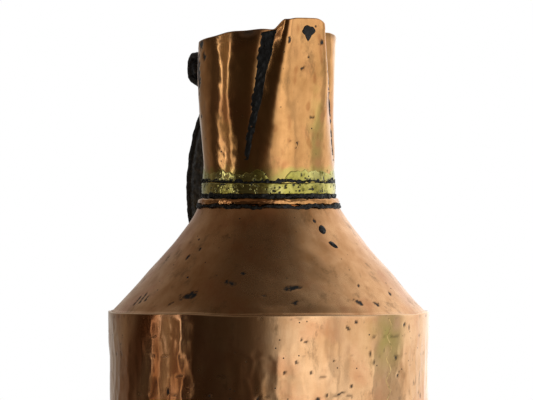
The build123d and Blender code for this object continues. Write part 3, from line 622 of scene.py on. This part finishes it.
def make_neck():
    table = np.array([neck_outline(z) for z in LEVELS])
    cols = table.shape[1]
    rim = np.full((1, cols), 355.0)  # first guess; each pass reads the plan position at the last level
    for _ in range(3):
        at = neck_grid(table, rim)[0]
        rim = rim_level(at[:, 0], at[:, 1])[None, :]
    rim = rim + np.minimum(field(neck_grid(table, rim), 22, 71, count=14) * 0.28, 0.5)
    share = np.linspace(0, 1, 132)[:, None]
    z = NECK_FOOT + share * (rim - 0.7 - NECK_FOOT)
    raw = neck_grid(table, z)
    angle = np.arctan2(raw[..., 0], -raw[..., 1])
    high = smooth((z - 268) / 40)
    back = np.exp(-(((np.abs(angle) - math.pi) / 0.75) ** 2))
    lean = -1.25 * np.cos(angle - math.radians(60)) * (1 - back) * high
    flat = raw.copy()
    flat[..., 2] *= 0.45
    broad = field(flat, 30, 81) * 0.27 + field(flat, 12, 82) * 0.10 + field(raw, 6.5, 83) * 0.030
    broad = broad * (0.15 + 0.85 * smooth((z - 262) / 18)) * (1 - 0.8 * back)
    hem = 0.14 * smooth((z - rim + 5.2) / 0.8) * smooth((NECK_TOP - 3 - z) / 4)
    normal = normals_of(raw)
    normal[..., 2] = 0
    normal /= np.linalg.norm(normal, axis=-1, keepdims=True)
    # real pits and scrapes, together with the painted reflection of the handle on the neck's left side
    stain_and_painted_reflection = spots(raw, NECK_MARKS, 91)
    outer = raw + normal * (lean + broad + hem - 0.25 * stain_and_painted_reflection)[..., None]
    top, out = outer[-1:], normal[-1:]
    lift = np.array([0, 0, 1.0])
    rolled = [top - out * back_by + lift * up for back_by, up in
              ((0.15, 0.42), (0.55, 0.68), (1.05, 0.68), (1.5, 0.42), (1.7, -0.1))]
    rows = np.linspace(len(z) - 8, 0, 40).astype(int)
    inner = outer[rows] - normal[rows] * (SHEET + hem[rows])[..., None]
    grid = np.concatenate([outer, *rolled, inner])
    soot = smooth(field(raw, 9, 95) * 0.3 + 0.45) * smooth((z - rim + 6) / 7) * 0.7
    by_crease = np.exp(-(((np.degrees(angle) + 47) / 16) ** 2)) * smooth((z - rim + 13) / 12) * 0.95
    stain_and_painted_reflection = np.maximum(stain_and_painted_reflection, np.maximum(soot * (raw[..., 1] > -41), by_crease))
    stain_and_painted_reflection = np.concatenate([stain_and_painted_reflection, np.full((len(rolled) + len(rows), cols), 0.25)])
    rub_and_painted_highlight = np.zeros_like(grid[..., 0])
    greened = smooth((OVERFLOW_TOP + 3 - grid[..., 2]) / 7 + field(grid, 8, 97) * 0.22) * 0.85
    way = np.degrees(np.arctan2(grid[..., 0], -grid[..., 1]))
    olive = np.exp(-(((way - 15) / 8) ** 2) - ((grid[..., 2] - 292) / 26) ** 2)
    olive = olive * smooth(field(grid, 9, 98) * 0.3 + 0.6)
    greened = np.maximum(greened, 0.6 * olive)
    worn = smooth(field(grid, 6, 99, (1, 1, 1.4)) * 0.6 - 0.45) * np.exp(-((way / 40) ** 2)) * 0.45
    ring_piece("neck_and_spout", grid, NECK_COPPER, ["neck_and_spout"],
               {"stain_and_painted_reflection": stain_and_painted_reflection, "tint": greened, "rub_and_painted_highlight": rub_and_painted_highlight, "tarnish_and_painted_glint": worn})
    return outer, normal


# ---- Trim --------------------------------------------------------------------------------------------
def trim(name, rows, node, material, seed, stain_and_painted_reflection=None):
    """Ring about the neck's foot from rows of (radius, height, waver of each), the outside first."""
    angle = ring_angles(TRIM_COLUMNS)
    lines = []
    for number, (radius, height, wobble, waver) in enumerate(rows):
        at = placed(angle, NECK_RADIUS, height if np.isscalar(height) else np.mean(height))
        r = radius + wobble * (field(at, 5, seed + number) * 0.6 + field(at, 2.2, seed + 40 + number) * 0.4)
        long, short = field(at, 11, seed + 80 + number // 3), field(at, 3.5, seed + 120 + number // 3)
        h = height + waver * (long + 0.6 * short)
        lines.append(placed(angle, np.maximum(r, NECK_RADIUS - 1.2), h + 0 * angle))
    grid = np.concatenate(lines)
    dirt_and_painted_reflection = np.zeros(grid.shape[:2]) if stain_and_painted_reflection is None else stain_and_painted_reflection(grid)
    zero = 0 * dirt_and_painted_reflection
    ring_piece(name, grid, material, [node], {"stain_and_painted_reflection": dirt_and_painted_reflection, "tint": zero, "rub_and_painted_highlight": zero})


def half_round(low, high, inner, outer, count, wobble, waver):
    """Rows of a bulging band, from its lower edge up and back along its hidden inside."""
    turn = np.linspace(-1, 1, count)
    bulge = np.sqrt(np.maximum(1 - turn**2, 0))
    rows = [(inner + (outer - inner) * b, low + (high - low) * (t + 1) / 2, wobble * (0.25 + b), waver)
            for t, b in zip(turn, bulge)]
    return rows + [(inner - 0.8, high - 0.4, 0, 0), (inner - 0.8, low + 0.4, 0, 0)]


def band_pits(grid):
    """Scattered black pits on the brass band."""
    rng = np.random.default_rng(131)
    marks = [(rng.uniform(-180, 180), NECK_RADIUS + 1, rng.uniform(BAND_LOW + 0.5, BAND_HIGH - 0.5),
              rng.uniform(0.4, 1.1), rng.uniform(0.4, 0.9), 0) for _ in range(120)]
    return spots(grid, marks, 132)


def overflow_grime(grid):
    """Burnt patches, densest along the braze's lower edge."""
    low = smooth((BAND_HIGH + 4.2 - grid[..., 2]) / 3.2)
    return smooth(field(grid, 5, 141) * 0.5 + field(grid, 2, 142) * 0.3 - 0.75 + 1.15 * low)


def make_trim():
    foot = NECK_RADIUS
    rows = half_round(RING_LOW - 2.3, RING_LOW + 0.3, foot + 3.2, foot + 4.4, 8, 0.34, 0.45)
    trim("solder_under_ring", rows, "ring_solder_line", SOLDER, 201)
    rows = half_round(RING_LOW - 0.5, RING_HIGH + 0.8, foot + 1.6, RING_RADIUS - 0.02, 15, 0.10, 0.16)
    trim("copper_ring", rows, "neck_ring", NECK_COPPER, 221)
    rows = half_round(RING_HIGH - 0.1, BAND_LOW + 0.7, foot + 0.2, foot + 1.0, 9, 0.40, 0.5)
    trim("solder_under_band", rows, "lower_solder_line", SOLDER, 241)
    flat = [(foot + 0.1, BAND_LOW, 0.05, 0.12), (foot + 0.75, BAND_LOW + 0.3, 0.08, 0.12)]
    flat += [(foot + 0.95, h, 0.09, 0.05) for h in np.linspace(BAND_LOW + 0.8, BAND_HIGH - 0.8, 14)]
    flat += [(foot + 0.75, BAND_HIGH - 0.3, 0.08, 0.12), (foot + 0.1, BAND_HIGH, 0.05, 0.12),
             (foot - 0.7, BAND_HIGH - 0.4, 0, 0), (foot - 0.7, BAND_LOW + 0.4, 0, 0)]
    trim("brass_band", flat, "brass_band", BRASS, 261, band_pits)
    rows = half_round(BAND_HIGH - 0.3, BAND_HIGH + 2.0, foot - 0.1, foot + 0.55, 9, 0.32, 0.62)
    trim("solder_over_band", rows, "upper_solder_line", SOLDER, 281)
    angle = ring_angles(TRIM_COLUMNS)
    bare = smooth(1.4 - np.abs(degrees_from(-23, angle)) / 10)  # a stretch the braze did not reach
    at = placed(angle, foot, OVERFLOW_TOP)
    top = OVERFLOW_TOP - 1.6 + field(at, 13, 301) * 0.9 + field(at, 4, 302) * 0.55
    top = top * (1 - bare) + (BAND_HIGH + 1.2) * bare
    low = BAND_HIGH + 0.8
    rows = [(foot + lift, low + (top - low) * share, 0.07, 0) for share, lift in
            ((0, 0.34), (0.2, 0.34), (0.4, 0.32), (0.6, 0.27), (0.75, 0.2), (0.88, 0.12), (0.96, 0.05))]
    rows += [(foot - 0.08, top, 0.02, 0), (foot - 0.5, top - 0.3, 0, 0), (foot - 0.5, low + 0 * top, 0, 0)]
    trim("braze_overflow", rows, "braze_overflow", BRASS, 311, overflow_grime)


# ---- Solder on the neck and shoulder -----------------------------------------------------------------
CREASE_LEVELS = [274, 276, 300, 325, 352, 357]
CREASE_REACH = [1.8, 2.9, 3.4, 4.8, 7.6, 8.4]  # half width of the deposit at those levels


def crease(name, outer, normal, column, seed, size=1.0):
    """Deposit that fills a valley of the neck, narrow at its foot and broad at the rim."""
    level = outer[:, column, 2]
    rows = np.where((level > CREASE_LEVELS[0]) & (level < CREASE_LEVELS[-1]))[0]
    lines = []
    for row in rows:
        ring = outer[row]
        reach = size * np.interp(level[row], CREASE_LEVELS, CREASE_REACH)
        step = np.linalg.norm(np.roll(ring, -1, axis=0) - ring, axis=1)
        wobble = 1 + 0.10 * field(ring[column][None, :], 14, seed)[0]
        left = column - max(2, int(reach * wobble / step[column - 4]))
        right = column + max(2, int(reach * wobble * 0.9 / step[column + 4]))
        share = np.linspace(0, 1, 13)
        place = left + share * (right - left)
        low = place.astype(int)
        part = (place - low)[:, None]
        skin = ring[low % len(ring)] * (1 - part) + ring[(low + 1) % len(ring)] * part
        chord = skin[0] + (skin[-1] - skin[0]) * share[:, None]
        crown = np.sin(share * math.pi)[:, None]
        out = normal[row, column]
        lumps = field(skin, 6, seed + 3)[:, None] * 0.16 + field(skin, 2.4, seed + 4)[:, None] * 0.10
        over = skin + (chord - skin) * 0.8 * crown**0.4 + out * ((0.2 * size + lumps) * crown - 0.05)
        under = skin[::-1] - out * 0.5
        lines.append(np.concatenate([over, under]))
    strip_piece(name, np.array(lines), SOLDER, [name])


def blister(name, node, tree, centre, up, outline, height, seed):
    """Lump of solder: outline gives its reach in mm at even turns, starting along the surface's side."""
    centre, up = Vector(centre), Vector(up)
    spot, out = tree.find_nearest(centre * MM)[:2]
    side = up.cross(out).normalized()
    up = out.cross(side)
    count = 40
    turns = np.arange(count) * TURN / count
    reach = np.interp(turns, np.linspace(0, TURN, len(outline) + 1), list(outline) + [outline[0]])
    shares = [0.02, 0.2, 0.4, 0.58, 0.74, 0.88, 0.97, 1.0]
    lines = []
    for share in shares:
        line = []
        for turn, far in zip(turns, reach):
            at = spot + (side * math.cos(turn) + up * math.sin(turn)) * far * share * MM
            near, n = tree.find_nearest(at)[:2]
            swell = height * math.sqrt(max(1 - share**2, 0)) - 0.12 * (share > 0.98)
            line.append(np.array(near + n * swell * MM) / MM)
        lines.append(line)
    grid = np.array(lines)[::-1]
    grid[:-1] += (field(grid[:-1], 2.4, seed) * 0.14 * height)[..., None] * np.array(out)
    under = grid[0:1] - np.array(out) * 0.6
    strip_piece(name, np.concatenate([under, grid]), SOLDER, [node])


def surface_tree(grid):
    """Search tree over a grid's surface, in metres."""
    rows, cols = grid.shape[:2]
    return BVHTree.FromPolygons((grid.reshape(-1, 3) * MM).tolist(), quads(rows, cols, False))


def seam(name, node, grid, columns, rows, width):
    """Flush braze line: a thin strip lying on a grid along fractional columns, one per row."""
    lines = []
    for row, column in zip(rows, columns):
        section = []
        for offset, rise in ((-1, -0.4), (-0.8, 0.03), (0, 0.07), (0.8, 0.03), (1, -0.4), (0, -0.5)):
            place = (column + offset * width) % grid.shape[1]
            low = int(place)
            skin = grid[row, low] * (1 - place + low) + grid[row, (low + 1) % grid.shape[1]] * (place - low)
            out = np.array([skin[0], skin[1], 0]) / np.hypot(skin[0], skin[1])
            section.append(skin + out * rise)
        lines.append(section)
    strip_piece(name, np.array(lines), SEAM, [node])


# ---- Handle and rivets -------------------------------------------------------------------------------
def remeshed(node, name, voxel, waves, material):
    """Copy of a CAD node rebuilt from small cells, its surface beaten by waves of (length, depth)."""
    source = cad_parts[node]
    copy = bpy.data.objects.new(name + "_source", source.data.copy())
    scene.collection.objects.link(copy)
    cells = copy.modifiers.new("cells", "REMESH")
    cells.mode, cells.voxel_size = "VOXEL", voxel * MM
    bpy.context.view_layer.update()
    mesh = bpy.data.meshes.new_from_object(copy.evaluated_get(bpy.context.evaluated_depsgraph_get()))
    bpy.data.objects.remove(copy)
    count = len(mesh.vertices)
    points, normals = np.zeros(count * 3), np.zeros(count * 3)
    mesh.vertices.foreach_get("co", points)
    mesh.vertex_normals.foreach_get("vector", normals)
    points, normals = points.reshape(-1, 3) / MM, normals.reshape(-1, 3)
    push = sum(field(points, length, 400 + i) * depth for i, (length, depth) in enumerate(waves))
    points = points + normals * push[:, None]
    faces = [list(p.vertices) for p in mesh.polygons]
    bpy.data.meshes.remove(mesh)
    new_piece(name, points, faces, material, [node])


# ---- Build -------------------------------------------------------------------------------------------
body_grid = make_body()
shoulder_grid = make_shoulder()
neck_outer, neck_normal = make_neck()
make_trim()

valley_left = sum(ARC_COLUMNS[:2])
valley_right = sum(ARC_COLUMNS[:5])
crease("crease_solder_left", neck_outer, neck_normal, valley_left, 501)
crease("crease_solder_right", neck_outer, neck_normal, valley_right, 511, 0.2)

neck_tree, shoulder_tree = surface_tree(neck_outer), surface_tree(shoulder_grid)
DROP = (5.6, 5.2, 4.6, 3.6, 3.9, 4.6, 4.7, 4.3, 5.0, 4.0, 3.4, 4.4, 6.6, 4.6, 3.6, 4.3)
blister("spout_patch", "spout_solder_patch", neck_tree, (0.6, -52, 357.5), (0, 0, 1), DROP, 0.75, 521)
blister("shoulder_patch_upper", "shoulder_patch_upper", shoulder_tree, (8.8, -55.8, 230.0), (0.35, -0.3, 1),
        (2.6, 3.0, 3.6, 4.2, 3.2, 2.8, 3.0, 3.2, 3.6, 2.8), 0.55, 531)
blister("shoulder_patch_lower", "shoulder_patch_lower", shoulder_tree, (12.6, -62.3, 220.0), (-0.35, -0.3, 1),
        (1.9, 2.4, 3.2, 3.6, 2.4, 1.9, 2.2, 3.0, 3.8, 2.2), 0.5, 541)

SEAM_ANGLE, SEAM_PITCH, SEAM_REACH = 17.5, 14, 2.5  # degrees from the spout; size of its teeth in mm
SEAM_RADIUS = 104
teeth = np.arange(4, len(body_grid) - 2)
zigzag = SEAM_REACH * (4 * np.abs(body_grid[teeth, 0, 2] / SEAM_PITCH % 1 - 0.5) - 1)
seam_columns = (SEAM_ANGLE / 360 + zigzag / (TURN * SEAM_RADIUS)) * BODY_COLUMNS
seam("body_seam", "body_seam_braze", body_grid, seam_columns, teeth, 0.45)
upright = np.arange(8, len(neck_outer) - 6)
seam("neck_seam", "neck_seam_braze", neck_outer, np.full(len(upright), ARC_COLUMNS[0] / 2), upright, 0.4)

remeshed("handle_strap", "handle", 0.7, ((9, 0.12), (3.5, 0.08)), IRON)
for node in sorted(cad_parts):
    if "rivet" in node:
        remeshed(node, node + "_head", 0.4, ((3, 0.08),), RIVET)

# CAD nodes that stay in view; the roves take the rivets' metal.
KEPT = {"base_disc": PLAIN_COPPER, "base_braze": BRASS, "shoulder_braze": BRASS,
        "handle_wire_left": IRON, "handle_wire_right": IRON}
for name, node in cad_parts.items():
    for material_slot in node.material_slots:
        material_slot.material = KEPT.get(name, RIVET)


# ---- Floor, light and camera -------------------------------------------------------------------------
AZIMUTH = math.radians(-30)
toward = Vector((math.sin(AZIMUTH), -math.cos(AZIMUTH), 0))  # from the jug to the camera
right = Vector((-toward.y, toward.x, 0))
DISTANCE = 3.2
VIEW_WIDTH = 0.3497  # at the jug
CAMERA_HEIGHT, AIM_HEIGHT = 0.258, 0.2485
AIM_SHIFT = 0.0014  # to the left
SENSOR = 36.0

FLOOR_RADIUS, FLOOR_LEVEL, FLOOR_CORNERS = 2.0, -0.0004, 96
mesh = bpy.data.meshes.new("floor")
disc = placed(np.linspace(0, TURN, FLOOR_CORNERS, endpoint=False), FLOOR_RADIUS, FLOOR_LEVEL)
mesh.from_pydata(disc.tolist(), [], [list(range(FLOOR_CORNERS))])
floor = bpy.data.objects.new("floor", mesh)
scene.collection.objects.link(floor)
floor_shade = Shade("pale_floor")
cloud = floor_shade.ramp(floor_shade.noise(3, 3), 0.3, 0.7)
floor_tone = floor_shade.mix(cloud, (0.90, 0.90, 0.89), (0.93, 0.93, 0.92))
floor_grain = floor_shade.bump(floor_shade.noise(200), 0.05, 0.001)
mesh.materials.append(floor_shade.finish(floor_tone, 0.7, floor_grain, 0.0))
floor.visible_glossy = False  # the studio floor falls away below the jug's mirror-like sides

world = bpy.data.worlds.new("studio")
scene.world = world
world.use_nodes = True
nodes, links = world.node_tree.nodes, world.node_tree.links
background = nodes["Background"]
direction = nodes.new("ShaderNodeTexCoord").outputs["Generated"]


def dot(axis):
    """Part of the ray's direction that lies along an axis."""
    node = nodes.new("ShaderNodeVectorMath")
    node.operation = "DOT_PRODUCT"
    links.new(direction, node.inputs[0])
    node.inputs[1].default_value = axis
    return node.outputs["Value"]


def world_math(kind, a, b):
    node = nodes.new("ShaderNodeMath")
    node.operation = kind
    feed(links, a, node.inputs[0])
    feed(links, b, node.inputs[1])
    return node.outputs[0]


def eased(value, low, high, start=0.0, end=1.0):
    """Goes smoothly from start to end while value goes from low to high."""
    node = nodes.new("ShaderNodeMapRange")
    node.interpolation_type = "SMOOTHSTEP"
    feed(links, value, node.inputs["Value"])
    for key, number in (("From Min", low), ("From Max", high), ("To Min", start), ("To Max", end)):
        node.inputs[key].default_value = number
    return node.outputs[0]


def mixed(share, a, b):
    """Colour between a and b."""
    node = nodes.new("ShaderNodeMix")
    node.data_type = "RGBA"
    feed(links, share, node.inputs[0])
    feed(links, a, node.inputs[6])
    feed(links, b, node.inputs[7])
    return node.outputs[2]


SECTORS = [  # low in the room: degrees from the camera towards the right, and brightness
    (-180, 0.6), (-170, 0.40), (-150, 0.20), (-125, 0.14), (-106, 0.05), (-92, 0.05), (-88, 0.12), (-86, 2.1),
    (-84, 0.16), (-71, 0.16), (-69, 2.1), (-67, 0.06), (-55, 0.028), (-27, 0.036), (-14, 0.05), (-6, 0.09),
    (2, 0.22), (9, 0.62), (19, 0.88), (32, 1.12), (44, 0.88), (48, 0.58), (56, 0.88), (76, 0.95), (86, 0.58),
    (106, 0.5), (116, 0.95), (146, 1.05), (165, 1.15), (180, 1.25),
]
HIGH_SECTORS = [  # the same, higher up
    (-180, 0.45), (-150, 0.26), (-115, 0.11), (-60, 0.10), (-10, 0.11), (30, 0.14), (70, 0.22), (95, 0.42),
    (118, 0.78), (145, 0.98), (165, 0.8), (180, 0.45),
]
bearing = world_math("ARCTAN2", dot(right), dot(toward))
bearing = world_math("ADD", world_math("MULTIPLY", bearing, 1 / TURN), 0.5)


def sky_ramp(sectors):
    """Colour by bearing; the dark sectors are warm, like a wooden room."""
    ramp = nodes.new("ShaderNodeValToRGB")
    links.new(bearing, ramp.inputs[0])
    elements = ramp.color_ramp.elements
    for place, _ in sectors[1:-1]:
        elements.new((place + 180) / 360)
    for element, (_, value) in zip(elements, sectors):
        warm = value < 0.2
        element.color = (value, value * (0.8 if warm else 1), value * (0.62 if warm else 0.98), 1)
    return ramp.outputs[0]


up = dot((0, 0, 1))
room = mixed(eased(up, 0.2, 0.5), sky_ramp(SECTORS), sky_ramp(HIGH_SECTORS))
paths = nodes.new("ShaderNodeLightPath")
seen = paths.outputs["Is Camera Ray"]
links.new(mixed(seen, room, (1.0, 1.0, 1.0, 1.0)), background.inputs["Color"])  # white backdrop
on_matt = world_math("ADD", paths.outputs["Is Diffuse Ray"], 1.1)  # matt things are lit more strongly
lit = world_math("MULTIPLY", eased(up, 0.7, 1.0, 1.0, 0.35), on_matt)
strength = nodes.new("ShaderNodeMix")
for value, number in ((seen, 0), (lit, 2), (1.0, 3)):
    feed(links, value, strength.inputs[number])
links.new(strength.outputs[0], background.inputs["Strength"])

camera = bpy.data.objects.new("camera", bpy.data.cameras.new("camera"))
scene.collection.objects.link(camera)
scene.camera = camera
camera.data.sensor_width = SENSOR
camera.data.lens = SENSOR * DISTANCE / VIEW_WIDTH
aim = Vector((0, 0, AIM_HEIGHT)) - right * AIM_SHIFT
camera.location = toward * DISTANCE + Vector((0, 0, CAMERA_HEIGHT))
camera.rotation_mode = "QUATERNION"
camera.rotation_quaternion = (aim - camera.location).to_track_quat("-Z", "Y")
camera.data.clip_start, camera.data.clip_end = 0.1, 60
